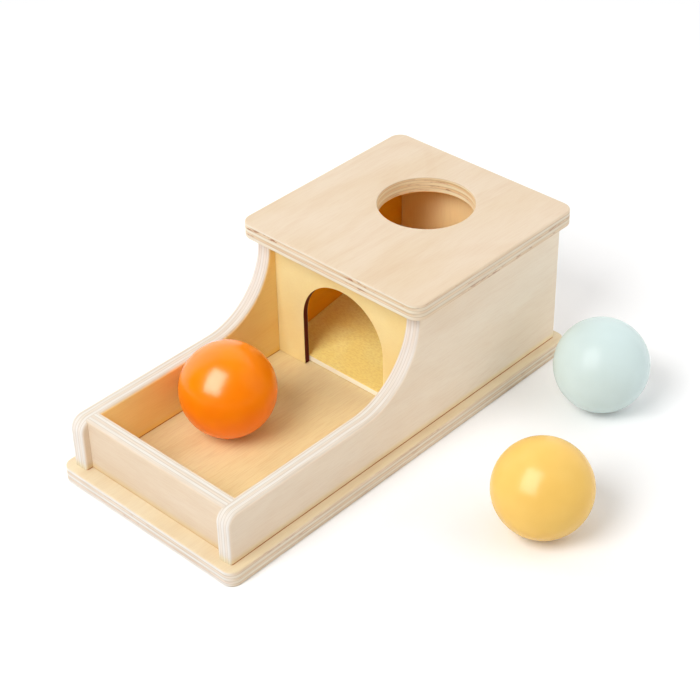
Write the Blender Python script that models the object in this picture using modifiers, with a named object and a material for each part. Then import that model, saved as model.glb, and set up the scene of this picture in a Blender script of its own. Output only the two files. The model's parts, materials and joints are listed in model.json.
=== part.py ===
"""A toddler's wooden ball run, in metres with +Z up.

A ball is dropped through the hole in the lid, lands on a ramp and rolls out through an arch into a tray.
The box is plywood, glued on hidden dowels. X runs across it, and the open end of the tray points along -Y.
The origin is the middle of the base's underside.
"""

import math

import bmesh
import bpy

# Boards and the gap left for glue between any two of them
PLY = 0.009
THIN_BOARD = 0.0035
GLUE_GAP = 0.0003

# Box
INNER_WIDTH = 0.094
WALL_LENGTH = 0.244
BOX_HEIGHT = 0.073
OVERHANG = 0.005
BASE_CORNER = 0.006
EDGE_ROUND = 0.0015

# Tray end of the side walls, and the sweep up to the lid
RIM_HEIGHT = 0.029
RIM_CORNER = 0.007
TALL_LENGTH = 0.112
NECK_HEIGHT = 0.004
FRONT_SETBACK = 0.004

# Lid and its ball hole
LID_FRONT_OVERHANG = 0.007
LID_CORNER = 0.007
HOLE_CLEARANCE = 0.0015
HOLE_BACK_GAP = 0.00775
HOLE_ROUND = 0.0008

# Arch panel, ramp and the batten that carries the ramp's back edge
PANEL_SETBACK = 0.004
GROOVE_DEPTH = 0.002
ARCH_CLEARANCE = 0.006
ARCH_TOP_RAIL = 0.014
RAMP_ANGLE = math.radians(9.75)
BATTEN_DEPTH = 0.010

# Dowels: the wood left beside one in an edge and below one in a face
DOWEL_COVER = 0.0015
DOWEL_FLOOR = 0.003
DOWEL_LENGTH = 0.018
DOWEL_CHAMFER = 0.0007
DOWEL_INSET = 0.022

# Balls, and where they lie
BALL_DIAMETER = 0.050
ORANGE_WALL_GAP = 0.0041
ORANGE_FROM_FRONT = 0.058
YELLOW_BASE_GAP = 0.0541
YELLOW_Y = 0.0025
BLUE_BASE_GAP = 0.0167
BLUE_Y = 0.100

# Facets
CORNER_STEPS = 6
SWEEP_STEPS = 18
ARCH_STEPS = 24
HOLE_STEPS = 48
ROUND_STEPS = 3
DOWEL_SIDES = 16
BALL_SEGMENTS = 36
BALL_RINGS = 18
WELD = 1e-5
FLAT_ANGLE = math.radians(0.5)
CREASE_ANGLE = math.radians(35)
PAST_FACE = 0.005

# Places that follow from the sizes above
half_inner = INNER_WIDTH / 2
half_outer = half_inner + PLY
wall_middle = half_inner + PLY / 2
half_base = half_outer + OVERHANG
front_end = -WALL_LENGTH / 2
rear_end = WALL_LENGTH / 2
base_top = PLY
lid_under = base_top + BOX_HEIGHT
rim = base_top + RIM_HEIGHT
front_outer = front_end + FRONT_SETBACK
front_middle = front_outer + PLY / 2
front_inner = front_outer + PLY
back_inner = rear_end - PLY
back_middle = rear_end - PLY / 2
tall_front = rear_end - TALL_LENGTH
panel_front = tall_front + PANEL_SETBACK
panel_back = panel_front + THIN_BOARD
lid_front = tall_front - LID_FRONT_OVERHANG
lid_back = rear_end + OVERHANG
ramp_front = panel_back + GLUE_GAP
ball_radius = BALL_DIAMETER / 2
hole_radius = ball_radius + HOLE_CLEARANCE / 2
hole_y = back_inner - HOLE_BACK_GAP - hole_radius
dowel_radius = PLY / 2 - DOWEL_COVER
dowel_in_face = PLY - DOWEL_FLOOR

# How a board's outline lies: flat, across the box, or along it
FLAT = (0, 0, 0)
ACROSS = (math.pi / 2, 0, 0)
ALONG = (math.pi / 2, 0, math.pi / 2)


def clear_scene():
    for old in list(bpy.data.objects):
        bpy.data.objects.remove(old)


def new_collection(name):
    collection = bpy.data.collections.new(name)
    bpy.context.scene.collection.children.link(collection)
    return collection


def finish(name, colour, roughness):
    material = bpy.data.materials.new(name)
    material.use_nodes = True
    shader = material.node_tree.nodes["Principled BSDF"]
    shader.inputs["Base Color"].default_value = (*colour, 1)
    shader.inputs["Roughness"].default_value = roughness
    shader.inputs["Metallic"].default_value = 0
    return material


def arc(centre, radius, start, end, steps):
    """Points along a circular arc, both ends included, with angles in degrees."""
    points = []
    for step in range(steps + 1):
        angle = math.radians(start + (end - start) * step / steps)
        points.append((centre[0] + radius * math.cos(angle), centre[1] + radius * math.sin(angle)))
    return points


def rectangle(left, right, low, high):
    return [(left, low), (right, low), (right, high), (left, high)]


def rounded_rectangle(left, right, low, high, radius):
    centres = [
        (left + radius, low + radius),
        (right - radius, low + radius),
        (right - radius, high - radius),
        (left + radius, high - radius),
    ]
    points = []
    for turn, centre in enumerate(centres):
        start = 180 + 90 * turn
        points += arc(centre, radius, start, start + 90, CORNER_STEPS)
    return points


class BallRun:
    """The collections and finishes that the pieces share."""

    def __init__(self):
        self.parts = new_collection("toddler_ball_run")
        self.cutters = new_collection("cutters")
        self.dowel_holes = new_collection("dowel_holes")
        self.wood = finish("birch_plywood", (0.86, 0.72, 0.53), 0.55)
        self.yellow_board = finish("yellow_board", (0.90, 0.66, 0.26), 0.6)
        self.dowel_wood = finish("beech_dowel", (0.78, 0.60, 0.40), 0.6)
        self.peg_mesh = cylinder_mesh("dowel", dowel_radius, DOWEL_LENGTH)
        self.drill_mesh = cylinder_mesh("dowel_hole", dowel_radius + GLUE_GAP, DOWEL_LENGTH + 2 * GLUE_GAP)

    def add(self, name, mesh, material):
        piece = bpy.data.objects.new(name, mesh)
        self.parts.objects.link(piece)
        if not mesh.materials:
            mesh.materials.append(material)
        return piece

    def add_cutter(self, name, mesh, collection):
        cutter = bpy.data.objects.new(name, mesh)
        collection.objects.link(cutter)
        cutter.hide_render = True
        cutter.display_type = "WIRE"
        return cutter


def cylinder_mesh(name, radius, length):
    mesh = bpy.data.meshes.new(name)
    shape = bmesh.new()
    bmesh.ops.create_cone(
        shape, cap_ends=True, segments=DOWEL_SIDES, radius1=radius, radius2=radius, depth=length
    )
    shape.to_mesh(mesh)
    shape.free()
    return mesh


def outline_mesh(name, outline, thickness):
    """A board's mesh: the outline filled in its own XY plane and thickened evenly about it."""
    curve = bpy.data.curves.new(name + "_outline", "CURVE")
    curve.dimensions = "2D"
    curve.fill_mode = "BOTH"
    curve.extrude = thickness / 2
    spline = curve.splines.new("POLY")
    spline.points.add(len(outline) - 1)
    for point, (x, y) in zip(spline.points, outline):
        point.co = (x, y, 0, 1)
    spline.use_cyclic_u = True
    sketch = bpy.data.objects.new(name + "_outline", curve)
    bpy.context.scene.collection.objects.link(sketch)
    bpy.context.view_layer.update()
    solid = sketch.evaluated_get(bpy.context.evaluated_depsgraph_get())
    mesh = bpy.data.meshes.new_from_object(solid)
    mesh.name = name
    bpy.data.objects.remove(sketch)
    shape = bmesh.new()
    shape.from_mesh(mesh)
    bmesh.ops.remove_doubles(shape, verts=shape.verts, dist=WELD)
    bmesh.ops.dissolve_limit(shape, angle_limit=FLAT_ANGLE, verts=shape.verts, edges=shape.edges)
    bmesh.ops.recalc_face_normals(shape, faces=shape.faces)
    shape.to_mesh(mesh)
    shape.free()
    return mesh


def add_board(run, name, outline, thickness, location, rotation, material):
    board = run.add(name, outline_mesh(name, outline, thickness), material)
    board.location = location
    board.rotation_euler = rotation
    return board


def shade(piece):
    piece.data.shade_smooth()
    piece.data.set_sharp_from_angle(angle=CREASE_ANGLE)


def round_edges(board, exposed=lambda point: True):
    """Rounds the edges where a board's faces meet its rim, wherever exposed says so."""
    shape = bmesh.new()
    shape.from_mesh(board.data)
    weight = shape.edges.layers.float.new("bevel_weight_edge")
    for edge in shape.edges:
        on_face = [abs(face.normal.z) > 0.5 for face in edge.link_faces]
        middle = (edge.verts[0].co + edge.verts[1].co) / 2
        if any(on_face) and not all(on_face) and exposed(middle):
            edge[weight] = 1
    shape.to_mesh(board.data)
    shape.free()
    shade(board)
    bevel = board.modifiers.new("rounded_edges", "BEVEL")
    bevel.limit_method = "WEIGHT"
    bevel.width = EDGE_ROUND
    bevel.segments = ROUND_STEPS


def cut(board, cutter):
    boolean = board.modifiers.new(cutter.name, "BOOLEAN")
    boolean.operation = "DIFFERENCE"
    boolean.solver = "EXACT"
    boolean.object = cutter


def cut_dowel_holes(run, board):
    boolean = board.modifiers.new("dowel_holes", "BOOLEAN")
    boolean.operation = "DIFFERENCE"
    boolean.solver = "EXACT"
    boolean.operand_type = "COLLECTION"
    boolean.collection = run.dowel_holes


# Plywood boards
def add_base(run):
    outline = rounded_rectangle(-half_base, half_base, front_end - OVERHANG, rear_end + OVERHANG, BASE_CORNER)
    base = add_board(run, "base_plate", outline, PLY, (0, 0, PLY / 2), FLAT, run.wood)
    round_edges(base)
    cut_dowel_holes(run, base)


def side_wall_outline():
    """Low and rounded at the tray, then swept up to a short neck below the lid. Points are (y, z)."""
    low = base_top + GLUE_GAP
    high = lid_under - GLUE_GAP
    sweep_radius = BOX_HEIGHT - RIM_HEIGHT - NECK_HEIGHT
    corner = (front_end + RIM_CORNER, rim - RIM_CORNER)
    sweep = (tall_front - sweep_radius, rim + sweep_radius)
    outline = [(front_end, low), (rear_end, low), (rear_end, high), (tall_front, high)]
    outline += arc(sweep, sweep_radius, 0, -90, SWEEP_STEPS)
    outline += arc(corner, RIM_CORNER, 90, 180, CORNER_STEPS)
    return outline


def add_side_wall(run, name, side):
    """One of the two walls, with the groove that holds the arch panel's end. side is -1 or 1."""
    place = (side * wall_middle, 0, 0)
    wall = add_board(run, name, side_wall_outline(), PLY, place, ALONG, run.wood)
    low = base_top + GLUE_GAP + WELD
    high = lid_under - GLUE_GAP - WELD

    def exposed(point):
        hidden_edge = point.y < low or point.y > high
        against_back_wall = point.x > rear_end - WELD and point.z * side < 0
        return not hidden_edge and not against_back_wall

    round_edges(wall, exposed)
    groove = rectangle(panel_front - GLUE_GAP, panel_back + GLUE_GAP, base_top - PAST_FACE, lid_under + PAST_FACE)
    cutter = run.add_cutter(name + "_groove", outline_mesh(name + "_groove", groove, 2 * GROOVE_DEPTH), run.cutters)
    cutter.location = (side * half_inner, 0, 0)
    cutter.rotation_euler = ALONG
    cut(wall, cutter)
    cut_dowel_holes(run, wall)


def add_front_wall(run):
    half = half_inner - GLUE_GAP
    outline = rectangle(-half, half, base_top + GLUE_GAP, rim)
    wall = add_board(run, "front_wall", outline, PLY, (0, front_middle, 0), ACROSS, run.wood)
    round_edges(wall, lambda point: point.y > rim - WELD)
    cut_dowel_holes(run, wall)


def add_back_wall(run):
    half = half_inner - GLUE_GAP
    outline = rectangle(-half, half, base_top + GLUE_GAP, lid_under - GLUE_GAP)
    wall = add_board(run, "back_wall", outline, PLY, (0, back_middle, 0), ACROSS, run.wood)
    cut_dowel_holes(run, wall)


def hole_cutter_mesh():
    """A turned plug, flared at both faces of the lid so that the hole it leaves has eased edges."""
    half = PLY / 2
    flare = []
    for step in range(ROUND_STEPS + 1):
        angle = math.pi / 2 * (1 - step / ROUND_STEPS)
        radius = hole_radius + HOLE_ROUND * (1 - math.cos(angle))
        flare.append((radius, half - HOLE_ROUND * (1 - math.sin(angle))))
    mouth = hole_radius + HOLE_ROUND
    upper = [(0, half + PAST_FACE), (mouth, half + PAST_FACE)] + flare
    profile = upper + [(radius, -height) for radius, height in reversed(upper)]
    mesh = bpy.data.meshes.new("ball_hole")
    shape = bmesh.new()
    points = [shape.verts.new((radius, 0, height)) for radius, height in profile]
    for first, second in zip(points, points[1:]):
        shape.edges.new((first, second))
    shape.to_mesh(mesh)
    shape.free()
    return mesh


def add_lid(run):
    outline = rounded_rectangle(-half_base, half_base, lid_front, lid_back, LID_CORNER)
    lid = add_board(run, "lid", outline, PLY, (0, 0, lid_under + PLY / 2), FLAT, run.wood)
    round_edges(lid)
    cutter = run.add_cutter("ball_hole", hole_cutter_mesh(), run.cutters)
    cutter.location = (0, hole_y, lid_under + PLY / 2)
    turn = cutter.modifiers.new("turned", "SCREW")
    turn.axis = "Z"
    turn.steps = HOLE_STEPS
    turn.render_steps = HOLE_STEPS
    turn.use_merge_vertices = True
    turn.merge_threshold = WELD
    cut(lid, cutter)
    cut_dowel_holes(run, lid)


# Painted boards
def add_arch_panel(run):
    """The thin screen across the box, with an arch that a ball rolls out through."""
    half = half_inner + GROOVE_DEPTH - GLUE_GAP
    low = base_top + GLUE_GAP
    high = lid_under - GLUE_GAP
    arch_radius = (BALL_DIAMETER + ARCH_CLEARANCE) / 2
    spring = lid_under - ARCH_TOP_RAIL - arch_radius
    outline = [(-half, low), (-arch_radius, low)]
    outline += arc((0, spring), arch_radius, 180, 0, ARCH_STEPS)
    outline += [(arch_radius, low), (half, low), (half, high), (-half, high)]
    place = (0, panel_front + THIN_BOARD / 2, 0)
    panel = add_board(run, "arch_panel", outline, THIN_BOARD, place, ACROSS, run.yellow_board)
    shade(panel)


def ramp_underside(y):
    return base_top + GLUE_GAP + (y - ramp_front) * math.tan(RAMP_ANGLE)


def add_ramp(run):
    """A sloping board with plumb-cut ends, from the foot of the arch to the back wall."""
    rear = back_inner - GLUE_GAP
    depth = THIN_BOARD / math.cos(RAMP_ANGLE)
    under = [(ramp_front, ramp_underside(ramp_front)), (rear, ramp_underside(rear))]
    top = [(y, z + depth) for y, z in reversed(under)]
    width = INNER_WIDTH - 2 * GLUE_GAP
    add_board(run, "ramp_board", under + top, width, (0, 0, 0), ALONG, run.yellow_board)


def add_ramp_batten(run):
    """The bevelled strip on the back wall that the ramp's upper end rests on."""
    rear = back_inner - GLUE_GAP
    front = rear - BATTEN_DEPTH
    low = base_top + GLUE_GAP
    drop = GLUE_GAP / math.cos(RAMP_ANGLE)
    outline = [(front, low), (rear, low)]
    outline += [(y, ramp_underside(y) - drop) for y in (rear, front)]
    width = INNER_WIDTH - 2 * GLUE_GAP
    add_board(run, "ramp_batten", outline, width, (0, 0, 0), ALONG, run.wood)


# Dowels
def add_dowel(run, name, seam, into_face):
    """A dowel across a seam, with the hole it needs. into_face is the turn that points its Z at the drilled face."""
    reach = dowel_in_face - DOWEL_LENGTH / 2
    direction, rotation = into_face
    centre = [at + reach * along for at, along in zip(seam, direction)]
    peg = run.add(name, run.peg_mesh, run.dowel_wood)
    drill = run.add_cutter(name + "_hole", run.drill_mesh, run.dowel_holes)
    for item in (peg, drill):
        item.location = centre
        item.rotation_euler = rotation
    chamfer = peg.modifiers.new("chamfer", "BEVEL")
    chamfer.limit_method = "ANGLE"
    chamfer.width = DOWEL_CHAMFER
    chamfer.segments = 1


DOWN = ((0, 0, -1), (math.pi, 0, 0))
UP = ((0, 0, 1), (0, 0, 0))
LEFT = ((-1, 0, 0), (0, -math.pi / 2, 0))
RIGHT = ((1, 0, 0), (0, math.pi / 2, 0))


def add_dowels(run):
    tray_middle = (front_inner + panel_front) / 2
    inset = half_inner - DOWEL_INSET
    rear_dowel = rear_end - DOWEL_INSET
    for side_name, side, into_side in (("left", -1, LEFT), ("right", 1, RIGHT)):
        x = side * wall_middle
        for number, y in enumerate((front_end + DOWEL_INSET, tray_middle, rear_dowel), 1):
            add_dowel(run, f"base_{side_name}_dowel_{number}", (x, y, base_top), DOWN)
        for number, y in enumerate((tall_front + DOWEL_INSET, rear_dowel), 1):
            add_dowel(run, f"lid_{side_name}_dowel_{number}", (x, y, lid_under), UP)
        seam = side * half_inner
        add_dowel(run, f"front_{side_name}_dowel", (seam, front_middle, base_top + RIM_HEIGHT / 2), into_side)
        for number, z in enumerate((base_top + DOWEL_INSET, lid_under - DOWEL_INSET), 1):
            add_dowel(run, f"back_{side_name}_dowel_{number}", (seam, back_middle, z), into_side)
        x = side * inset
        add_dowel(run, f"base_front_{side_name}_dowel", (x, front_middle, base_top), DOWN)
        add_dowel(run, f"base_back_{side_name}_dowel", (x, back_middle, base_top), DOWN)
        add_dowel(run, f"lid_back_{side_name}_dowel", (x, back_middle, lid_under), UP)


# Balls
def add_ball(run, name, place, colour):
    mesh = bpy.data.meshes.new(name)
    shape = bmesh.new()
    bmesh.ops.create_uvsphere(shape, u_segments=BALL_SEGMENTS, v_segments=BALL_RINGS, radius=ball_radius)
    shape.to_mesh(mesh)
    shape.free()
    mesh.shade_smooth()
    ball = run.add(name, mesh, finish(name + "_paint", colour, 0.35))
    ball.location = place


def add_balls(run):
    orange_x = -half_inner + ORANGE_WALL_GAP + ball_radius
    orange_y = front_inner + ORANGE_FROM_FRONT
    orange = (orange_x, orange_y, base_top + GLUE_GAP + ball_radius)
    yellow = (half_base + YELLOW_BASE_GAP + ball_radius, YELLOW_Y, ball_radius)
    blue = (half_base + BLUE_BASE_GAP + ball_radius, BLUE_Y, ball_radius)
    add_ball(run, "orange_ball", orange, (0.94, 0.27, 0.01))
    add_ball(run, "yellow_ball", yellow, (0.92, 0.60, 0.12))
    add_ball(run, "blue_ball", blue, (0.71, 0.82, 0.79))


def main():
    clear_scene()
    run = BallRun()
    add_base(run)
    add_side_wall(run, "left_side_wall", -1)
    add_side_wall(run, "right_side_wall", 1)
    add_front_wall(run)
    add_back_wall(run)
    add_lid(run)
    add_arch_panel(run)
    add_ramp(run)
    add_ramp_batten(run)
    add_dowels(run)
    add_balls(run)


main()
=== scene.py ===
"""The looks of the toddler ball run: its boards, painted balls, finishes, floor, lamps and camera.

Everything is in metres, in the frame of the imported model. X runs across the box, and the tray's
open end points along -Y.
"""

import json
import math

import bmesh
import bpy
from mathutils import Euler, Matrix, Vector

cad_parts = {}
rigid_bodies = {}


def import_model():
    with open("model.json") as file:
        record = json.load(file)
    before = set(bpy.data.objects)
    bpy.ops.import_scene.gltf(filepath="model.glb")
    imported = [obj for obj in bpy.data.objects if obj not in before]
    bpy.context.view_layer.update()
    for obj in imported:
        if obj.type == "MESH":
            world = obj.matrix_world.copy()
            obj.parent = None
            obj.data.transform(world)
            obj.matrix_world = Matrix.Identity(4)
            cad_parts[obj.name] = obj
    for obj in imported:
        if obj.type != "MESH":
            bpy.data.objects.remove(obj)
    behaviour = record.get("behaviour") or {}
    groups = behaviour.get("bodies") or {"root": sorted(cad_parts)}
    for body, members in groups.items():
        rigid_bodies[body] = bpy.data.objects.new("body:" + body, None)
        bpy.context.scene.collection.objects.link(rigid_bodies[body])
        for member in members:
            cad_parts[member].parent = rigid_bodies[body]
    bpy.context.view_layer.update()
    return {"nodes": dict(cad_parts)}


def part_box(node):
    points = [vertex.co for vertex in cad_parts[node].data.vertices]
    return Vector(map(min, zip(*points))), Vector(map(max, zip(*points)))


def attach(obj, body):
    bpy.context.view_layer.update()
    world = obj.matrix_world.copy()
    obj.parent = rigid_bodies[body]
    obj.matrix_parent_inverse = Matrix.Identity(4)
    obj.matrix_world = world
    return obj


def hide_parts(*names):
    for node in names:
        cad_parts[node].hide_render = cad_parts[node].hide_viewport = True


for startup_object in list(bpy.data.objects):
    bpy.data.objects.remove(startup_object)
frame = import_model()

# Rounding of the boards
EDGE_ROUND = 0.0015
PLATE_ROUND = 0.0009
BASE_CORNER = 0.006
LID_CORNER = 0.007
RIM_CORNER = 0.007
HOLE_ROUND = 0.0004
CUT_EASE = 0.00025
CORNER_STEPS = 12
SWEEP_STEPS = 40
HOLE_STEPS = 128
ROUND_STEPS = 5
EASE_STEPS = 2
DRILL_STEPS = 24

# Shapes that a node's box doesn't give
NECK_HEIGHT = 0.004
PANEL_SETBACK = 0.004
GROOVE_DEPTH = 0.002
GLUE_GAP = 0.0003
GROOVE_GAP = 0.0001
HOLE_CLEARANCE = 0.0015
HOLE_BACK_GAP = 0.00775
ARCH_CLEARANCE = 0.006
ARCH_TOP_RAIL = 0.014
RAMP_ANGLE = math.radians(9.75)
BALL_CUTS = 23
PAST_FACE = 0.005
NEAR = 2e-5
SHARP_ANGLE = math.radians(60)
CREASE_ANGLE = math.radians(40)
FLAT_ANGLE = math.radians(0.5)
PARALLEL = 0.999
FACING_UP = 0.9

# Finishes, with the plies and glue lines as shares of a board's thickness
CROSS_PLIES = ((0.22, 0.41), (0.60, 0.79))
PLY_BLUR = 0.02
PLY_WANDER = 0.02
GLUE_LINE = 0.035
GLUE_STRENGTH = 0.32
VENEER_EDGE = (0.006, 0.075)
SAWN_EDGE = (0.03, 0.12)
ROOM_BLUR = 0.001
# Width of the painted joint line at the foot of the walls, which also stands in for shade in the glue
# gap
SEAM = 0.0005
# Height of the painted warm bounce light at the foot of the walls
BOUNCE_LIGHT_HEIGHT = 0.0045
WOOD_SHINE = 0.07
WOOD_ROUGHNESS = (0.5, 0.66)
DOWEL_ROUGHNESS = (0.55, 0.7)
BOARD_SHINE = 0.15
BOARD_SHEEN = 0.55

# Camera and studio, with angles in degrees and the lens in millimetres
CAMERA_AIM = Vector((0.0101, 0.0090, 0.0394))
CAMERA_AZIMUTH = 43.575
CAMERA_ELEVATION = 36.047
CAMERA_ROLL = -1.211
CAMERA_DISTANCE = 0.90084
CAMERA_LENS = 90.63
SENSOR_WIDTH = 36
FLOOR_SIZE = 8.0
SOFTBOX_TOWARDS = Vector((-0.02, -0.68, 0.73))
SOFTBOX_DISTANCE = 1.5
SOFTBOX_SIZE = 0.8
SOFTBOX_POWER = 17.0
SHINE_TOWARDS = Vector((0.02, -0.68, 0.73))
SHINE_WIDTH = 1.05
SHINE_HEIGHT = 1.5
SHINE_POWER = 85.0
SHINE_TURN = 5
REFLECTOR_TOWARDS = Vector((0.62, 0.60, 0.50))
REFLECTOR_DISTANCE = 1.5
REFLECTOR_SIZE = 1.7
REFLECTOR_POWER = 12.0
FILL_TOWARDS = Vector((-0.90, 0.10, 0.50))
FILL_DISTANCE = 1.7
FILL_SIZE = 1.5
FILL_POWER = 16.0
BACKLIGHT_TOWARDS = Vector((-0.30, 0.90, 0.40))
BACKLIGHT_DISTANCE = 1.7
BACKLIGHT_SIZE = 1.2
BACKLIGHT_POWER = 2.9
OVERHEAD_TOWARDS = Vector((0.05, 0.10, 1.0))
OVERHEAD_DISTANCE = 1.6
OVERHEAD_SIZE = 1.4
OVERHEAD_POWER = 2.1
SKY_LIGHT = 0.24
BACKDROP_TOWARDS = Vector((-0.69, 0.72, 0.0))
BACKDROP_START = 0.15
BACKDROP_FULL = 0.5
BACKDROP_GLOW = 1.7
FLOOR_BOUNCE = 0.86
FLOOR_SEEN = 0.96
NEAR_REACH = 0.25
FAR_REACH = 0.6

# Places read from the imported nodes
base_low, base_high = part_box("base_plate")
lid_low, lid_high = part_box("lid")
front_low, front_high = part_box("front_wall")
back_low, back_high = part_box("back_wall")
panel_low, panel_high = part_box("arch_panel")
ramp_low, ramp_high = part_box("ramp_board")
wall_boxes = {"left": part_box("left_side_wall"), "right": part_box("right_side_wall")}
rim = front_high.z
tall_front = panel_low.y - PANEL_SETBACK
sweep_radius = lid_low.z - NECK_HEIGHT - rim
ball_low, ball_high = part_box("orange_ball")
ball_radius = (ball_high.z - ball_low.z) / 2
hole_radius = ball_radius + HOLE_CLEARANCE / 2
hole_centre = Vector((0, back_low.y - HOLE_BACK_GAP - hole_radius, (lid_low.z + lid_high.z) / 2))
arch_radius = ball_radius + ARCH_CLEARANCE / 2
arch_top = lid_low.z - ARCH_TOP_RAIL


# Modelling by hand
def block(name, low, high):
    """A cube stretched between two corners, its place kept in its mesh."""
    low = Vector(low)
    high = Vector(high)
    bpy.ops.object.select_all(action="DESELECT")
    bpy.ops.mesh.primitive_cube_add(size=1, location=(low + high) / 2, scale=high - low)
    made = bpy.context.object
    made.name = name
    made.data.name = name
    bpy.ops.object.transform_apply(location=True, rotation=True, scale=True)
    return made


def rod(name, centre, radius, length, axis, steps):
    """A round bar along X, Y or Z, its place kept in its mesh."""
    turn = {"X": (0, math.pi / 2, 0), "Y": (math.pi / 2, 0, 0), "Z": (0, 0, 0)}[axis]
    bpy.ops.object.select_all(action="DESELECT")
    bpy.ops.mesh.primitive_cylinder_add(
        vertices=steps, radius=radius, depth=length, location=centre, rotation=turn
    )
    made = bpy.context.object
    made.name = name
    bpy.ops.object.transform_apply(location=True, rotation=True, scale=True)
    return made


def make_active(piece):
    bpy.ops.object.select_all(action="DESELECT")
    piece.select_set(True)
    bpy.context.view_layer.objects.active = piece


def pick(piece, kind, wanted):
    """Opens a piece in edit mode with only the wanted points, edges or faces selected."""
    make_active(piece)
    bpy.ops.object.mode_set(mode="EDIT")
    bpy.ops.mesh.select_mode(type=kind)
    bpy.ops.mesh.select_all(action="DESELECT")
    shape = bmesh.from_edit_mesh(piece.data)
    items = {"VERT": shape.verts, "EDGE": shape.edges, "FACE": shape.faces}[kind]
    for item in items:
        item.select_set(bool(wanted(item)))
    shape.select_flush_mode()
    bmesh.update_edit_mesh(piece.data)


def close_edit():
    bpy.ops.object.mode_set(mode="OBJECT")


def near(first, second):
    return abs(first - second) < NEAR


def bevel_edges(piece, wanted, width, steps):
    pick(piece, "EDGE", wanted)
    bpy.ops.mesh.bevel(offset=width, segments=steps, affect="EDGES", clamp_overlap=False)
    close_edit()


def middle(edge):
    return (edge.verts[0].co + edge.verts[1].co) / 2


def runs_along(edge, axis):
    """True for an edge parallel to X, Y or Z, given as 0, 1 or 2."""
    step = edge.verts[1].co - edge.verts[0].co
    return abs(step[axis]) > PARALLEL * step.length


def runs_across(edge, y, z):
    """True for an edge along X at the given Y and Z."""
    at = middle(edge)
    return runs_along(edge, 0) and near(at.y, y) and near(at.z, z)


def is_sharp(edge):
    return edge.calc_face_angle(0) > SHARP_ANGLE


def tidy_flat_faces(piece):
    """Joins faces that lie in one plane."""
    pick(piece, "FACE", lambda face: True)
    bpy.ops.mesh.dissolve_limited(angle_limit=FLAT_ANGLE)
    close_edit()


def apply_all(piece):
    make_active(piece)
    for modifier in list(piece.modifiers):
        bpy.ops.object.modifier_apply(modifier=modifier.name)


def cut_away(piece, cutter):
    """Takes the cutter's shape out of the piece, and the cutter out of the scene."""
    boolean = piece.modifiers.new("cut", "BOOLEAN")
    boolean.operation = "DIFFERENCE"
    boolean.solver = "EXACT"
    boolean.object = cutter
    apply_all(piece)
    mesh = cutter.data
    bpy.data.objects.remove(cutter)
    bpy.data.meshes.remove(mesh)


def smooth_finish(piece):
    """Shades the rounded edges smoothly, and keeps the broad faces flat."""
    make_active(piece)
    bpy.ops.object.shade_smooth_by_angle(angle=CREASE_ANGLE)
    weighted = piece.modifiers.new("flat_faces", "WEIGHTED_NORMAL")
    weighted.keep_sharp = True
    apply_all(piece)


def drill_for_dowels(piece, node):
    """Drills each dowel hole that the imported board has, a glue gap wider than its dowel."""
    board_low, board_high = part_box(node)
    for name in frame["nodes"]:
        if "dowel" not in name:
            continue
        low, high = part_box(name)
        apart = any(low[i] > board_high[i] or high[i] < board_low[i] for i in range(3))
        if apart:
            continue
        size = high - low
        axis = max(range(3), key=lambda i: size[i])
        radius = size[(axis + 1) % 3] / 2 + GLUE_GAP
        length = size[axis] + 2 * GLUE_GAP
        cut_away(piece, rod("dowel_drill", (low + high) / 2, radius, length, "XYZ"[axis], DRILL_STEPS))


def mark_end_grain(piece, grain_axis):
    """Stores at each face corner how squarely the surface there cuts through the face grain."""
    index = "XYZ".index(grain_axis)
    stored = piece.data.attributes.new("end_grain", "FLOAT", "CORNER")
    for corner, mark in zip(piece.data.corner_normals, stored.data):
        mark.value = corner.vector[index] ** 2


def mount(piece, node, body, material):
    """Puts a finished piece in a node's stead."""
    piece.data.materials.clear()
    piece.data.materials.append(material)
    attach(piece, body)
    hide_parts(node)


# Boards
def model_base():
    base = block("base_board", base_low, base_high)
    bevel_edges(base, lambda edge: runs_along(edge, 2), BASE_CORNER, CORNER_STEPS)
    bevel_edges(base, is_sharp, PLATE_ROUND, ROUND_STEPS)
    drill_for_dowels(base, "base_plate")
    smooth_finish(base)
    return base


def model_side(side):
    """A side board: low at the tray, raised at the back, swept in between, its rims rounded."""
    low, high = wall_boxes[side]
    low = Vector((low.x, low.y, base_high.z))
    inner_x = high.x if side == "left" else low.x
    board = block(side + "_side_board", low, (high.x, high.y, rim))
    pick(board, "FACE", lambda face: True)
    bpy.ops.mesh.bisect(plane_co=(0, tall_front, 0), plane_no=(0, 1, 0))
    close_edit()
    pick(
        board,
        "FACE",
        lambda face: face.normal.z > FACING_UP and face.calc_center_median().y > tall_front,
    )
    bpy.ops.mesh.extrude_region_move(TRANSFORM_OT_translate={"value": (0, 0, high.z - rim)})
    close_edit()
    tidy_flat_faces(board)
    bevel_edges(board, lambda edge: runs_across(edge, tall_front, rim), sweep_radius, SWEEP_STEPS)
    bevel_edges(board, lambda edge: runs_across(edge, low.y, rim), RIM_CORNER, CORNER_STEPS)

    def is_rim(edge):
        at = middle(edge)
        hidden = near(at.z, low.z) or near(at.z, high.z)
        against_back = near(at.y, high.y) and near(at.x, inner_x)
        on_face = near(at.x, low.x) or near(at.x, high.x)
        return is_sharp(edge) and on_face and not (hidden or against_back)

    bevel_edges(board, is_rim, EDGE_ROUND, ROUND_STEPS)
    groove_low = Vector((inner_x - GROOVE_DEPTH, panel_low.y - GROOVE_GAP, low.z - PAST_FACE))
    groove_high = Vector((inner_x + GROOVE_DEPTH, panel_high.y + GROOVE_GAP, high.z + PAST_FACE))
    cut_away(board, block("groove", groove_low, groove_high))
    drill_for_dowels(board, side + "_side_wall")
    smooth_finish(board)
    return board


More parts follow.
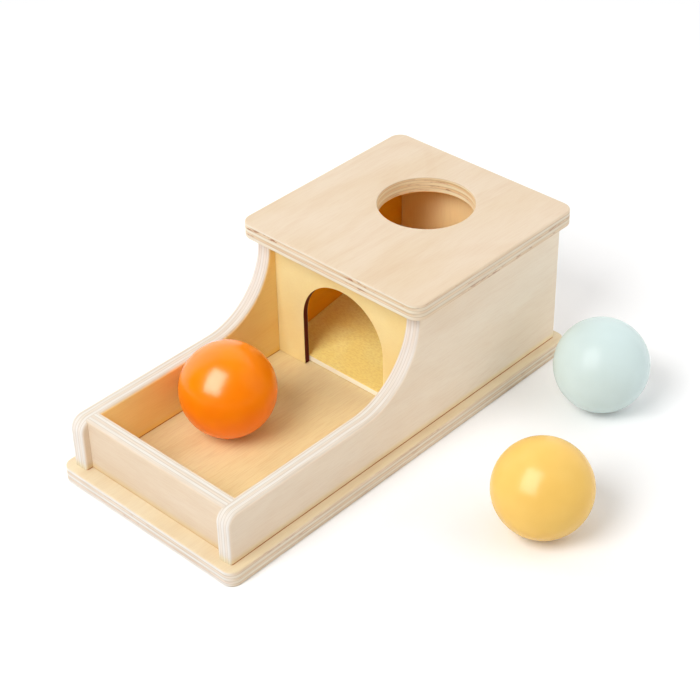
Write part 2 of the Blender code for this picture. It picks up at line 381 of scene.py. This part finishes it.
def model_front():
    """The low front board, its ends let into the side boards as far as their rims are rounded."""
    low = (wall_boxes["left"][1].x - EDGE_ROUND, front_low.y, base_high.z)
    high = (wall_boxes["right"][0].x + EDGE_ROUND, front_high.y, front_high.z)
    board = block("front_board", low, high)
    bevel_edges(
        board,
        lambda edge: runs_along(edge, 0) and near(middle(edge).z, rim),
        EDGE_ROUND,
        ROUND_STEPS,
    )
    drill_for_dowels(board, "front_wall")
    smooth_finish(board)
    return board


def model_back():
    board = block("back_board", back_low, back_high)
    bevel_edges(
        board,
        lambda edge: near(middle(edge).y, back_high.y),
        CUT_EASE,
        EASE_STEPS,
    )
    drill_for_dowels(board, "back_wall")
    smooth_finish(board)
    return board


def model_lid():
    lid = block("lid_board", lid_low, lid_high)
    bevel_edges(lid, lambda edge: runs_along(edge, 2), LID_CORNER, CORNER_STEPS)
    bevel_edges(lid, is_sharp, PLATE_ROUND, ROUND_STEPS)
    depth = lid_high.z - lid_low.z + 2 * PAST_FACE
    cut_away(lid, rod("hole_saw", hole_centre, hole_radius, depth, "Z", HOLE_STEPS))

    def is_hole_rim(edge):
        at = [point.co - hole_centre for point in edge.verts]
        on_circle = all(abs(point.to_2d().length - hole_radius) < NEAR for point in at)
        return on_circle and is_sharp(edge)

    bevel_edges(lid, is_hole_rim, HOLE_ROUND, ROUND_STEPS)
    drill_for_dowels(lid, "lid")
    smooth_finish(lid)
    return lid


def model_arch_board():
    board = block("arch_board", panel_low, panel_high)
    low = (-arch_radius, panel_low.y - PAST_FACE, panel_low.z - PAST_FACE)
    high = (arch_radius, panel_high.y + PAST_FACE, arch_top)
    doorway = block("doorway", low, high)
    bevel_edges(
        doorway,
        lambda edge: runs_along(edge, 1) and near(middle(edge).z, arch_top),
        arch_radius - NEAR,
        SWEEP_STEPS,
    )
    cut_away(board, doorway)

    def is_arch_edge(edge):
        at = middle(edge)
        in_width = abs(at.x) < arch_radius + NEAR
        in_height = panel_low.z + NEAR < at.z < arch_top + NEAR
        return is_sharp(edge) and in_width and in_height

    bevel_edges(board, is_arch_edge, CUT_EASE, EASE_STEPS)
    smooth_finish(board)
    return board


def model_ramp():
    """A level strip whose back end is lifted, so that its ends stay plumb."""
    depth = (panel_high.y - panel_low.y) / math.cos(RAMP_ANGLE)
    rise = (ramp_high.y - ramp_low.y) * math.tan(RAMP_ANGLE)
    ramp = block("ramp_strip", ramp_low, (ramp_high.x, ramp_high.y, ramp_low.z + depth))
    pick(ramp, "VERT", lambda point: near(point.co.y, ramp_high.y))
    bpy.ops.transform.translate(value=(0, 0, rise))
    close_edit()
    bevel_edges(ramp, lambda edge: runs_along(edge, 0), CUT_EASE, EASE_STEPS)
    smooth_finish(ramp)
    return ramp


# Balls
def model_ball(name, node):
    low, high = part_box(node)
    ball = block(name, low, high)
    pick(ball, "FACE", lambda face: True)
    bpy.ops.mesh.subdivide(number_cuts=BALL_CUTS)
    close_edit()
    make_active(ball)
    bpy.ops.object.origin_set(type="ORIGIN_GEOMETRY", center="BOUNDS")
    turned = ball.modifiers.new("turned", "CAST")
    turned.cast_type = "SPHERE"
    turned.factor = 1
    turned.use_radius_as_size = False
    turned.size = ball_radius
    apply_all(ball)
    bpy.ops.object.shade_smooth()
    bpy.ops.object.transform_apply(location=True, rotation=True, scale=True)
    return ball


# Wiring of materials
class Wiring:
    """Adds nodes to one material or node group, and joins them."""

    def __init__(self, tree):
        self.tree = tree

    def node(self, kind, **settings):
        made = self.tree.nodes.new(kind)
        for name, value in settings.items():
            setattr(made, name, value)
        return made

    def feed(self, socket, value):
        if isinstance(value, bpy.types.NodeSocket):
            self.tree.links.new(value, socket)
        else:
            socket.default_value = value

    def math(self, operation, first, second=0.0, clamp=False):
        made = self.node("ShaderNodeMath", operation=operation, use_clamp=clamp)
        self.feed(made.inputs[0], first)
        self.feed(made.inputs[1], second)
        return made.outputs[0]

    def stretch(self, place, scale, shift=(0, 0, 0)):
        made = self.node("ShaderNodeMapping")
        self.feed(made.inputs["Vector"], place)
        made.inputs["Location"].default_value = shift
        made.inputs["Scale"].default_value = scale
        return made.outputs["Vector"]

    def noise(self, place, scale, shift=(0, 0, 0), detail=2.0, roughness=0.5, distortion=0.0):
        made = self.node("ShaderNodeTexNoise")
        self.feed(made.inputs["Vector"], self.stretch(place, scale, shift))
        made.inputs["Scale"].default_value = 1
        made.inputs["Detail"].default_value = detail
        made.inputs["Roughness"].default_value = roughness
        made.inputs["Distortion"].default_value = distortion
        return made.outputs["Fac"]

    def band(self, value, low, high, start=0.0, end=1.0):
        """A smooth step from start to end as value goes from low to high."""
        made = self.node("ShaderNodeMapRange", interpolation_type="SMOOTHSTEP")
        self.feed(made.inputs["Value"], value)
        made.inputs["From Min"].default_value = low
        made.inputs["From Max"].default_value = high
        made.inputs["To Min"].default_value = start
        made.inputs["To Max"].default_value = end
        return made.outputs["Result"]

    def split(self, place):
        """The X, Y and Z of a place."""
        made = self.node("ShaderNodeSeparateXYZ")
        self.feed(made.inputs[0], place)
        return made.outputs

    def mix(self, share, first, second, blend="MIX"):
        made = self.node("ShaderNodeMix", data_type="RGBA", blend_type=blend)
        self.feed(made.inputs[0], share)
        self.feed(made.inputs[6], first)
        self.feed(made.inputs[7], second)
        return made.outputs[2]


def colour(red, green, blue):
    """A colour given as it looks on a screen, from 0 to 255, turned to linear light."""
    linear = []
    for value in (red, green, blue):
        share = value / 255
        linear.append(share / 12.92 if share <= 0.04045 else ((share + 0.055) / 1.055) ** 2.4)
    return (*linear, 1)


# Tones of wood, glue and seams, and the tints that they are multiplied by. The seam brown is partly
# painted shade of a glue gap; the rim tint is partly, and the hole and bounce tints wholly, painted
# bounce light.
FIGURE_BROWN = colour(186, 126, 62)
FLECK_BROWN = colour(150, 86, 38)
SPECK_BROWN = colour(190, 120, 36)
SEAM_BROWN = colour(180, 94, 4)
GLUE_GREY = colour(170, 154, 134)
CROSS_CUT_TONES = (colour(224, 218, 209), colour(219, 210, 198))
LONG_CUT_TONES = (colour(225, 206, 182), colour(203, 175, 139))
BEECH_TONES = (colour(222, 190, 150), colour(186, 146, 104))
RIM_TINT = (1.13, 1.07, 0.97, 1)
END_TINT = (1.1, 1.11, 1.15, 1)
LID_END_TINT = (1.1, 1.1, 1.03, 1)
HOLE_BOUNCE_LIGHT_TINT = (1.17, 1.09, 0.9, 1)
BOUNCE_LIGHT_TINT = (1.0, 0.96, 0.74, 1)


def new_group(name, inputs, outputs):
    """An empty node group with its named sockets, ready for wiring."""
    kinds = {"value": "NodeSocketFloat", "colour": "NodeSocketColor", "place": "NodeSocketVector"}
    group = bpy.data.node_groups.new(name, "ShaderNodeTree")
    for socket, kind in inputs.items():
        group.interface.new_socket(socket, in_out="INPUT", socket_type=kinds[kind])
    for socket, kind in outputs.items():
        group.interface.new_socket(socket, in_out="OUTPUT", socket_type=kinds[kind])
    wiring = Wiring(group)
    return group, wiring, wiring.node("NodeGroupInput").outputs, wiring.node("NodeGroupOutput").inputs


def veneer_group():
    """Clouds, figure and fibres of a peeled face veneer.

    X of Place runs across the grain, and Y along it.
    """
    group, net, given, out = new_group(
        "veneer_figure",
        {"Place": "place", "Pale": "colour", "Warm": "colour", "Figure": "value", "Fibre": "value"},
        {"Color": "colour", "Height": "value"},
    )
    place = given["Place"]
    cloud = net.noise(place, (26, 11, 26), detail=3, roughness=0.55)
    figure = net.noise(place, (18, 4, 18), shift=(3, 1, 7), detail=1, distortion=0.6)
    rings = net.math("SINE", net.math("MULTIPLY", figure, 52))
    streak = net.noise(place, (150, 7, 150), detail=3)
    fibre = net.noise(place, (1700, 90, 1700), detail=2, roughness=0.6)
    tint = net.mix(net.band(cloud, 0.32, 0.68), given["Pale"], given["Warm"])
    ringed = net.band(rings, 0.3, 1.0, 0.0, 0.08)
    streaked = net.band(streak, 0.45, 0.75, 0.0, 0.10)
    figured = net.math("MULTIPLY", net.math("ADD", ringed, streaked), given["Figure"])
    fibred = net.math("MULTIPLY", net.band(fibre, 0.42, 0.66, 0.0, 0.24), given["Fibre"])
    dark = net.math("ADD", figured, fibred, clamp=True)
    net.feed(out["Color"], net.mix(dark, tint, FIGURE_BROWN))
    net.feed(out["Height"], fibre)
    return group


def ply_edge_group():
    """The layers that a sawn and rounded plywood edge shows. Depth goes from 0 to 1 through the board.

    A layer cut across its grain is pale, and one cut along it is tan. Ends is 1 where the face grain
    is cut across. Lift moves the layers up through the board.
    """
    group, net, given, out = new_group(
        "ply_layers",
        {
            "Place": "place",
            "Depth": "value",
            "Lift": "value",
            "Ends": "value",
            "Contrast": "value",
            "Flecks": "value",
        },
        {"Color": "colour", "Edge": "value"},
    )
    place = given["Place"]
    drift = net.math("SUBTRACT", net.noise(place, (40, 40, 40), detail=2), 0.5)
    wander = net.math("MULTIPLY", drift, PLY_WANDER)
    at = net.math("ADD", net.math("SUBTRACT", given["Depth"], given["Lift"]), wander)
    crossed = 0.0
    glue = 0.0
    for start, end in CROSS_PLIES:
        rising = net.band(at, start - PLY_BLUR, start + PLY_BLUR)
        falling = net.band(at, end - PLY_BLUR, end + PLY_BLUR)
        crossed = net.math("ADD", crossed, net.math("SUBTRACT", rising, falling))
        for border in (start, end):
            off = net.math("ABSOLUTE", net.math("SUBTRACT", at, border))
            glue = net.math("ADD", glue, net.band(off, PLY_BLUR / 2, GLUE_LINE, GLUE_STRENGTH, 0))
    same = net.math("SUBTRACT", 1, net.math("ABSOLUTE", net.math("SUBTRACT", crossed, given["Ends"])))
    along = net.math("MULTIPLY", same, given["Contrast"])
    grain = net.noise(place, (90, 90, 1300), detail=2)
    pores = net.noise(place, (24, 24, 1500), shift=(5, 2, 1), detail=2)
    fleck = net.noise(place, (190, 190, 1100), shift=(2, 8, 4), detail=3)
    patch = net.noise(place, (30, 30, 150), shift=(6, 3, 9), detail=1)
    fleck = net.math("MULTIPLY", net.band(fleck, 0.53, 0.65), net.band(patch, 0.42, 0.58))
    fleck = net.math("MULTIPLY", fleck, given["Flecks"])
    pale = net.mix(net.band(grain, 0.3, 0.75), *CROSS_CUT_TONES)
    tan = net.mix(net.band(pores, 0.38, 0.62), *LONG_CUT_TONES)
    tan = net.mix(fleck, tan, FLECK_BROWN)
    to_face = net.math("MINIMUM", given["Depth"], net.math("SUBTRACT", 1, given["Depth"]))
    net.feed(out["Color"], net.mix(glue, net.mix(along, pale, tan), GLUE_GREY))
    net.feed(out["Edge"], net.band(to_face, *VENEER_EDGE))
    return group


def room_group():
    """Masks of the surfaces that face into the box: all of them, and those behind the arch."""
    group, net, given, out = new_group(
        "room_inside", {"Place": "place"}, {"Inside": "value", "Covered": "value"}
    )
    parts = net.split(given["Place"])
    wall_low, wall_high = wall_boxes["right"]
    side = (wall_low.x + wall_high.x) / 2
    front = (front_low.y + front_high.y) / 2
    back = (back_low.y + back_high.y) / 2
    bottom = (base_low.z + base_high.z) / 2
    top = (lid_low.z + lid_high.z) / 2
    panel = (panel_low.y + panel_high.y) / 2
    inside = net.band(net.math("ABSOLUTE", parts["X"]), side - ROOM_BLUR, side + ROOM_BLUR, 1, 0)
    for axis, start, end in (("Y", front, back), ("Z", bottom, top)):
        rising = net.band(parts[axis], start - ROOM_BLUR, start + ROOM_BLUR)
        falling = net.band(parts[axis], end - ROOM_BLUR, end + ROOM_BLUR)
        inside = net.math("MULTIPLY", inside, net.math("SUBTRACT", rising, falling))
    behind = net.band(parts["Y"], panel - ROOM_BLUR, panel + ROOM_BLUR)
    net.feed(out["Inside"], inside)
    net.feed(out["Covered"], net.math("MULTIPLY", inside, behind))
    return group


def paint_group():
    """A sprayed paint skin: slow changes of tone and gloss, and a fine unevenness of the surface."""
    group, net, given, out = new_group(
        "paint_skin",
        {"Place": "place", "Paint": "colour", "Thick": "colour", "Sheen": "value"},
        {"Color": "colour", "Roughness": "value", "Height": "value"},
    )
    place = given["Place"]
    cloud = net.noise(place, (55, 55, 55), detail=2)
    peel = net.noise(place, (120, 120, 120), detail=1)
    brush = net.noise(place, (60, 220, 220), shift=(4, 4, 4), detail=0)
    grain = net.noise(place, (1000, 1000, 1000), detail=1)
    tone = net.mix(net.band(cloud, 0.3, 0.7), given["Paint"], given["Thick"])
    spread = net.math("MULTIPLY", net.math("SUBTRACT", peel, 0.5), 0.05)
    net.feed(out["Color"], tone)
    net.feed(out["Roughness"], net.math("ADD", given["Sheen"], spread))
    slow = net.math("ADD", net.math("MULTIPLY", peel, 0.3), net.math("MULTIPLY", brush, 0.3))
    net.feed(out["Height"], net.math("ADD", slow, net.math("MULTIPLY", grain, 0.4)))
    return group


def new_material(name):
    material = bpy.data.materials.new(name)
    material.use_nodes = True
    material.node_tree.nodes.clear()
    net = Wiring(material.node_tree)
    shader = net.node("ShaderNodeBsdfPrincipled")
    net.feed(net.node("ShaderNodeOutputMaterial").inputs["Surface"], shader.outputs[0])
    place = net.node("ShaderNodeTexCoord").outputs["Object"]
    return material, net, shader, place


def use_group(net, group, **values):
    made = net.node("ShaderNodeGroup", node_tree=group)
    for name, value in values.items():
        net.feed(made.inputs[name], value)
    return made.outputs


def bump(net, shader, height, depth, strength):
    made = net.node("ShaderNodeBump")
    made.inputs["Strength"].default_value = strength
    made.inputs["Distance"].default_value = depth
    net.feed(made.inputs["Height"], height)
    net.feed(shader.inputs["Normal"], made.outputs["Normal"])


def board_place(net, place, thickness_axis, grain_axis):
    """Object coordinates turned so that Y follows the face grain and Z goes through the board."""
    parts = net.split(place)
    across_axis = ({"X", "Y", "Z"} - {thickness_axis, grain_axis}).pop()
    turned = net.node("ShaderNodeCombineXYZ")
    net.feed(turned.inputs["X"], parts[across_axis])
    net.feed(turned.inputs["Y"], parts[grain_axis])
    net.feed(turned.inputs["Z"], parts[thickness_axis])
    return turned.outputs[0], parts


def share_between(net, value, low, high):
    """How far a value has come from low to high, from 0 to 1."""
    made = net.node("ShaderNodeMapRange")
    net.feed(made.inputs["Value"], value)
    made.inputs["From Min"].default_value = low
    made.inputs["From Max"].default_value = high
    return made.outputs["Result"]


def hole_share(net, place):
    """1 on the wall of the ball hole, and 0 away from it."""
    reach = net.node("ShaderNodeVectorMath", operation="LENGTH")
    net.feed(reach.inputs[0], net.stretch(place, (1, 1, 0), (-hole_centre.x, -hole_centre.y, 0)))
    return net.band(reach.outputs["Value"], hole_radius, hole_radius + HOLE_ROUND, 1, 0)


def plywood(name, node, thickness_axis, grain_axis, look):
    """Plywood for one board, as a solid pattern: veneer on its two faces, layers on its edges."""
    material, net, shader, place = new_material(name)
    turned, parts = board_place(net, place, thickness_axis, grain_axis)
    low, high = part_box(node)
    index = "XYZ".index(thickness_axis)
    depth = share_between(net, parts[thickness_axis], low[index], high[index])
    # Painted light and shade: outside tones get paler towards the back where a look gives back tones,
    # and the inside tones stand in for warm bounce light and shade in the tray and the closed box.
    room = use_group(net, room_inside, Place=place)
    painted_light_to_back = share_between(net, parts["Y"], front_low.y, back_high.y)
    tones = []
    for tone in ("pale", "warm"):
        outer = net.mix(painted_light_to_back, look[tone], look.get("back_" + tone, look[tone]))
        inner = net.mix(room["Covered"], look["inner_" + tone], look["covered_" + tone])
        tones.append(net.mix(room["Inside"], outer, inner))
    more_fibre = net.math("MULTIPLY", room["Inside"], look["inner_fibre"] - look["fibre"])
    face = use_group(
        net,
        veneer_figure,
        Place=turned,
        Pale=tones[0],
        Warm=tones[1],
        Figure=look["figure"],
        Fibre=net.math("ADD", look["fibre"], more_fibre),
    )
    ends = net.node("ShaderNodeAttribute", attribute_name="end_grain").outputs["Fac"]
    more_contrast = look["end_contrast"] - look["rim_contrast"]
    edge = use_group(
        net,
        ply_layers,
        Place=turned,
        Depth=depth,
        Lift=look["lift"],
        Ends=ends,
        Contrast=net.math("ADD", look["rim_contrast"], net.math("MULTIPLY", ends, more_contrast)),
        Flecks=look["flecks"],
    )
    # The lid's and base's edges cut along the grain are tinted warmer and brighter: partly the tone of
    # the cut, partly painted warm bounce light.
    warm = net.math("MULTIPLY", net.math("SUBTRACT", 1, ends), look["rim_warmth"])
    layers = net.mix(warm, edge["Color"], RIM_TINT, "MULTIPLY")
    layers = net.mix(ends, layers, look["end_tint"], "MULTIPLY")
    # Painted bounce light: the wall of the ball hole is tinted warmer and brighter, as if lit by
    # orange light from inside the box.
    if look["holed"]:
        layers = net.mix(hole_share(net, place), layers, HOLE_BOUNCE_LIGHT_TINT, "MULTIPLY")
    wood = net.mix(edge["Edge"], face["Color"], layers)
    if look["seam"]:
        spread = net.math("MULTIPLY", net.noise(place, (70, 70, 70), detail=2), SEAM)
        height = net.math("SUBTRACT", parts["Z"], spread)
        # Painted warm bounce light: the lowest few millimetres of the wall are tinted warmer, as if
        # lit by light off the base.
        bounce_light = net.band(height, base_high.z, base_high.z + BOUNCE_LIGHT_HEIGHT, 1, 0)
        wood = net.mix(bounce_light, wood, BOUNCE_LIGHT_TINT, "MULTIPLY")
        # A dark brown joint line at the foot of the board, which also stands in for the shade in the
        # glue gap that these boards close.
        seam = net.band(height, base_high.z + SEAM / 4, base_high.z + SEAM, look["seam"], 0)
        seam = net.math("MULTIPLY", seam, net.math("SUBTRACT", 1, ends))
        wood = net.mix(seam, wood, SEAM_BROWN)
    net.feed(shader.inputs["Base Color"], wood)
    net.feed(shader.inputs["Roughness"], net.band(face["Height"], 0.2, 0.8, *WOOD_ROUGHNESS))
    shader.inputs["Specular IOR Level"].default_value = WOOD_SHINE
    bump(net, shader, face["Height"], depth=0.00005, strength=0.5)
    return material


def mount_plywood(piece, node, thickness_axis, grain_axis, look):
    mark_end_grain(piece, grain_axis)
    wood = plywood(piece.name + "_plywood", node, thickness_axis, grain_axis, look)
    mount(piece, node, "box", wood)


def paint(name, skin, thick, sheen, shine):
    """Paint for a ball, from silk to semi-gloss."""
    material, net, shader, place = new_material(name)
    coat = use_group(net, paint_skin, Place=place, Paint=skin, Thick=thick, Sheen=sheen)
    net.feed(shader.inputs["Base Color"], coat["Color"])
    net.feed(shader.inputs["Roughness"], coat["Roughness"])
    shader.inputs["Specular IOR Level"].default_value = shine
    bump(net, shader, coat["Height"], depth=0.00008, strength=0.7)
    return material


def painted_board(name, skin, thick, cut_edge, speckle, depth_of):
    """A thin painted board with a sawn edge of its own colour.

    depth_of adds the nodes that give the depth through the board, from 0 to 1.
    """
    material, net, shader, place = new_material(name)
    depth = depth_of(net, net.split(place))
    coat = use_group(net, paint_skin, Place=place, Paint=skin, Thick=thick, Sheen=BOARD_SHEEN)
    speck = net.noise(place, (600, 1300, 1300), detail=2)
    speck = net.math("MULTIPLY", net.band(speck, 0.3, 0.75), speckle)
    face = net.mix(speck, coat["Color"], SPECK_BROWN)
    to_face = net.math("MINIMUM", depth, net.math("SUBTRACT", 1, depth))
    sawn = net.band(to_face, *SAWN_EDGE)
    net.feed(shader.inputs["Base Color"], net.mix(sawn, face, cut_edge))
    net.feed(shader.inputs["Roughness"], coat["Roughness"])
    shader.inputs["Specular IOR Level"].default_value = BOARD_SHINE
    bump(net, shader, coat["Height"], depth=0.00006, strength=0.4)
    return material


def panel_depth(net, parts):
    return share_between(net, parts["Y"], panel_low.y, panel_high.y)


def ramp_depth(net, parts):
    """How deep in the sloping ramp a point lies, measured upwards from its underside."""
    along = net.math("SUBTRACT", parts["Y"], ramp_low.y)
    height = net.math("SUBTRACT", parts["Z"], net.math("MULTIPLY", along, math.tan(RAMP_ANGLE)))
    depth = (panel_high.y - panel_low.y) / math.cos(RAMP_ANGLE)
    return share_between(net, height, ramp_low.z, ramp_low.z + depth)


def beech():
    material, net, shader, place = new_material("beech_dowel_wood")
    fibre = net.noise(place, (900, 900, 120), detail=3)
    net.feed(shader.inputs["Base Color"], net.mix(net.band(fibre, 0.3, 0.75), *BEECH_TONES))
    net.feed(shader.inputs["Roughness"], net.band(fibre, 0.2, 0.8, *DOWEL_ROUGHNESS))
    bump(net, shader, fibre, depth=0.0001, strength=0.4)
    return material


# Studio
def lay_floor():
    """A matt floor that takes the object's shadow, and runs out into plain white away from it."""
    bpy.ops.object.select_all(action="DESELECT")
    bpy.ops.mesh.primitive_plane_add(size=FLOOR_SIZE, location=(0, 0, base_low.z))
    floor = bpy.context.object
    floor.name = "studio_floor"
    material = bpy.data.materials.new("white_floor")
    material.use_nodes = True
    material.node_tree.nodes.clear()
    net = Wiring(material.node_tree)
    matt = net.node("ShaderNodeBsdfDiffuse")
    white = net.node("ShaderNodeEmission")
    seen = net.node("ShaderNodeLightPath").outputs
    shown = net.math("MAXIMUM", seen["Is Camera Ray"], seen["Is Glossy Ray"])
    shown = net.math("MAXIMUM", shown, seen["Is Transmission Ray"])
    paler = net.math("MULTIPLY", shown, FLOOR_SEEN - FLOOR_BOUNCE)
    net.feed(matt.inputs["Color"], net.math("ADD", FLOOR_BOUNCE, paler))
    reach = net.node("ShaderNodeVectorMath", operation="LENGTH")
    net.feed(reach.inputs[0], net.node("ShaderNodeTexCoord").outputs["Object"])
    far = net.band(reach.outputs["Value"], NEAR_REACH, FAR_REACH)
    blend = net.node("ShaderNodeMixShader")
    net.feed(blend.inputs[0], net.math("MULTIPLY", shown, far))
    net.feed(blend.inputs[1], matt.outputs[0])
    net.feed(blend.inputs[2], white.outputs[0])
    net.feed(net.node("ShaderNodeOutputMaterial").inputs["Surface"], blend.outputs[0])
    floor.data.materials.append(material)


def light_sky():
    """White as the camera sees it, an even glow on the object, and a backdrop in its reflections."""
    world = bpy.data.worlds.new("studio_white")
    bpy.context.scene.world = world
    world.use_nodes = True
    world.node_tree.nodes.clear()
    net = Wiring(world.node_tree)
    sky = net.node("ShaderNodeBackground")
    sky.inputs["Color"].default_value = (1, 1, 1, 1)
    seen = net.node("ShaderNodeLightPath").outputs
    towards = net.node("ShaderNodeVectorMath", operation="DOT_PRODUCT")
    net.feed(towards.inputs[0], net.node("ShaderNodeTexCoord").outputs["Generated"])
    towards.inputs[1].default_value = BACKDROP_TOWARDS.normalized()
    backdrop = net.band(towards.outputs["Value"], BACKDROP_START, BACKDROP_FULL, 0, BACKDROP_GLOW)
    shown = net.math("MAXIMUM", seen["Is Camera Ray"], seen["Is Transmission Ray"])
    shown = net.math("MAXIMUM", shown, net.math("MULTIPLY", seen["Is Glossy Ray"], backdrop))
    glow = net.math("MULTIPLY", SKY_LIGHT, net.math("SUBTRACT", 1, seen["Is Glossy Ray"]))
    net.feed(sky.inputs["Strength"], net.math("MAXIMUM", glow, shown))
    net.feed(net.node("ShaderNodeOutputWorld").inputs["Surface"], sky.outputs[0])


def hang_lamp(name, towards, distance, size, power):
    """A square soft lamp that faces the object from the given side, and leaves no reflection."""
    towards = towards.normalized()
    bpy.ops.object.select_all(action="DESELECT")
    bpy.ops.object.light_add(type="AREA", location=CAMERA_AIM + towards * distance)
    lamp = bpy.context.object
    lamp.name = name
    lamp.rotation_euler = (-towards).to_track_quat("-Z", "Y").to_euler()
    lamp.data.shape = "SQUARE"
    lamp.data.size = size
    lamp.data.energy = power
    lamp.visible_glossy = False
    return lamp


def set_camera():
    azimuth = math.radians(CAMERA_AZIMUTH)
    elevation = math.radians(CAMERA_ELEVATION)
    turn = Euler((math.pi / 2 - elevation, 0, azimuth)).to_matrix()
    turn = turn @ Matrix.Rotation(math.radians(CAMERA_ROLL), 3, "Z")
    back = turn.col[2]
    bpy.ops.object.select_all(action="DESELECT")
    bpy.ops.object.camera_add(
        location=CAMERA_AIM + back * CAMERA_DISTANCE, rotation=turn.to_euler()
    )
    camera = bpy.context.object
    camera.name = "photo_camera"
    camera.data.lens = CAMERA_LENS
    camera.data.sensor_width = SENSOR_WIDTH
    bpy.context.scene.camera = camera


# Groups that the materials share
veneer_figure = veneer_group()
ply_layers = ply_edge_group()
paint_skin = paint_group()
room_inside = room_group()

# Looks of the boards
# The insides of the walls are painted a warmer yellow than their outsides: painted warm bounce light
# and shade in the tray. Behind the arch board they are a deep orange yellow: painted shade inside the
# closed box.
WALL_INSIDE = {
    "inner_fibre": 0.2,
    "inner_pale": colour(255, 226, 157),
    "inner_warm": colour(254, 217, 143),
    "covered_pale": colour(255, 186, 40),
    "covered_warm": colour(254, 176, 30),
}
WALL_EDGE = {
    "end_contrast": 0.25,
    "rim_contrast": 0.4,
    "rim_warmth": 0.0,
    "end_tint": END_TINT,
    "lift": 0.0,
    "flecks": 0.1,
    "holed": False,
}
LID_LOOK = {
    "pale": colour(221, 203, 180),
    "warm": colour(217, 196, 168),
    **WALL_INSIDE,
    "figure": 0.6,
    "fibre": 0.28,
    "end_contrast": 0.85,
    "rim_contrast": 0.6,
    "rim_warmth": 1.0,
    "end_tint": LID_END_TINT,
    "lift": 0.055,
    "flecks": 0.9,
    "seam": 0.0,
    "holed": True,
}
# The tray's inside is warmer than the base's outside: painted warm bounce light in the tray.
TRAY_PALE = colour(236, 219, 172)
TRAY_WARM = colour(232, 212, 161)
BASE_LOOK = {
    "pale": colour(229, 213, 182),
    "warm": colour(225, 206, 171),
    "inner_pale": TRAY_PALE,
    "inner_warm": TRAY_WARM,
    "covered_pale": TRAY_PALE,
    "covered_warm": TRAY_WARM,
    "figure": 0.6,
    "fibre": 0.3,
    "inner_fibre": 0.55,
    "end_contrast": 0.65,
    "rim_contrast": 0.6,
    "rim_warmth": 1.0,
    "end_tint": END_TINT,
    "lift": 0.0,
    "flecks": 0.5,
    "seam": 0.0,
    "holed": False,
}
SIDE_LOOK = {
    "pale": colour(237, 220, 198),
    "warm": colour(233, 212, 187),
    # Painted light: the outsides of the side boards get paler towards the back, as if more light fell
    # there.
    "back_pale": colour(251, 238, 218),
    "back_warm": colour(247, 230, 207),
    **WALL_INSIDE,
    "figure": 0.35,
    "fibre": 0.25,
    **WALL_EDGE,
    "seam": 0.85,
}
FRONT_LOOK = {
    "pale": colour(226, 208, 185),
    "warm": colour(223, 202, 176),
    **WALL_INSIDE,
    "figure": 0.4,
    "fibre": 0.3,
    **WALL_EDGE,
    "seam": 0.25,
}
BACK_LOOK = {
    **FRONT_LOOK,
    "covered_pale": colour(252, 226, 172),
    "covered_warm": colour(250, 218, 158),
}

# Pieces in their places
mount_plywood(model_base(), "base_plate", "Z", "Y", BASE_LOOK)
mount_plywood(model_side("left"), "left_side_wall", "X", "Y", SIDE_LOOK)
mount_plywood(model_side("right"), "right_side_wall", "X", "Y", SIDE_LOOK)
mount_plywood(model_front(), "front_wall", "Y", "X", FRONT_LOOK)
mount_plywood(model_back(), "back_wall", "Y", "Z", BACK_LOOK)
mount_plywood(model_lid(), "lid", "Z", "Y", LID_LOOK)
mount(
    model_arch_board(),
    "arch_panel",
    "box",
    painted_board(
        "arch_yellow",
        skin=colour(246, 230, 171),
        thick=colour(244, 225, 162),
        # Charring of the laser cut, made deeper and redder as painted shade on the arch's jambs.
        cut_edge=colour(92, 10, 3),
        speckle=0.04,
        depth_of=panel_depth,
    ),
)
mount(
    model_ramp(),
    "ramp_board",
    "box",
    painted_board(
        "ramp_yellow",
        skin=colour(255, 238, 150),
        thick=colour(254, 231, 136),
        cut_edge=colour(250, 248, 232),
        speckle=0.20,
        depth_of=ramp_depth,
    ),
)
mount(
    model_ball("orange_painted_ball", "orange_ball"),
    "orange_ball",
    "orange",
    paint("orange_paint", colour(253, 138, 0), colour(250, 129, 0), sheen=0.235, shine=0.27),
)
mount(
    model_ball("yellow_painted_ball", "yellow_ball"),
    "yellow_ball",
    "yellow",
    paint("yellow_paint", colour(243, 199, 107), colour(241, 194, 100), sheen=0.235, shine=0.12),
)
mount(
    model_ball("blue_painted_ball", "blue_ball"),
    "blue_ball",
    "blue",
    paint("mint_paint", colour(213, 230, 229), colour(210, 227, 225), sheen=0.245, shine=0.065),
)

batten_wood = plywood("batten_plywood", "ramp_batten", "Y", "X", SIDE_LOOK)
dowel_wood = beech()
for name, node in frame["nodes"].items():
    if "dowel" in name or name == "ramp_batten":
        node.data.materials.clear()
        node.data.materials.append(dowel_wood if "dowel" in name else batten_wood)

# The studio around them
lay_floor()
light_sky()
hang_lamp("softbox", SOFTBOX_TOWARDS, SOFTBOX_DISTANCE, SOFTBOX_SIZE, SOFTBOX_POWER)
shine = hang_lamp("softbox_shine", SHINE_TOWARDS, SOFTBOX_DISTANCE, SHINE_WIDTH, SHINE_POWER)
shine.rotation_euler.rotate_axis("Z", math.radians(SHINE_TURN))
shine.data.shape = "RECTANGLE"
shine.data.size_y = SHINE_HEIGHT
shine.visible_glossy = True
shine.visible_diffuse = False
hang_lamp("reflector", REFLECTOR_TOWARDS, REFLECTOR_DISTANCE, REFLECTOR_SIZE, REFLECTOR_POWER)
hang_lamp("fill", FILL_TOWARDS, FILL_DISTANCE, FILL_SIZE, FILL_POWER)
hang_lamp("backlight", BACKLIGHT_TOWARDS, BACKLIGHT_DISTANCE, BACKLIGHT_SIZE, BACKLIGHT_POWER)
hang_lamp("overhead", OVERHEAD_TOWARDS, OVERHEAD_DISTANCE, OVERHEAD_SIZE, OVERHEAD_POWER)
set_camera()
bpy.context.scene.view_settings.view_transform = "Standard"
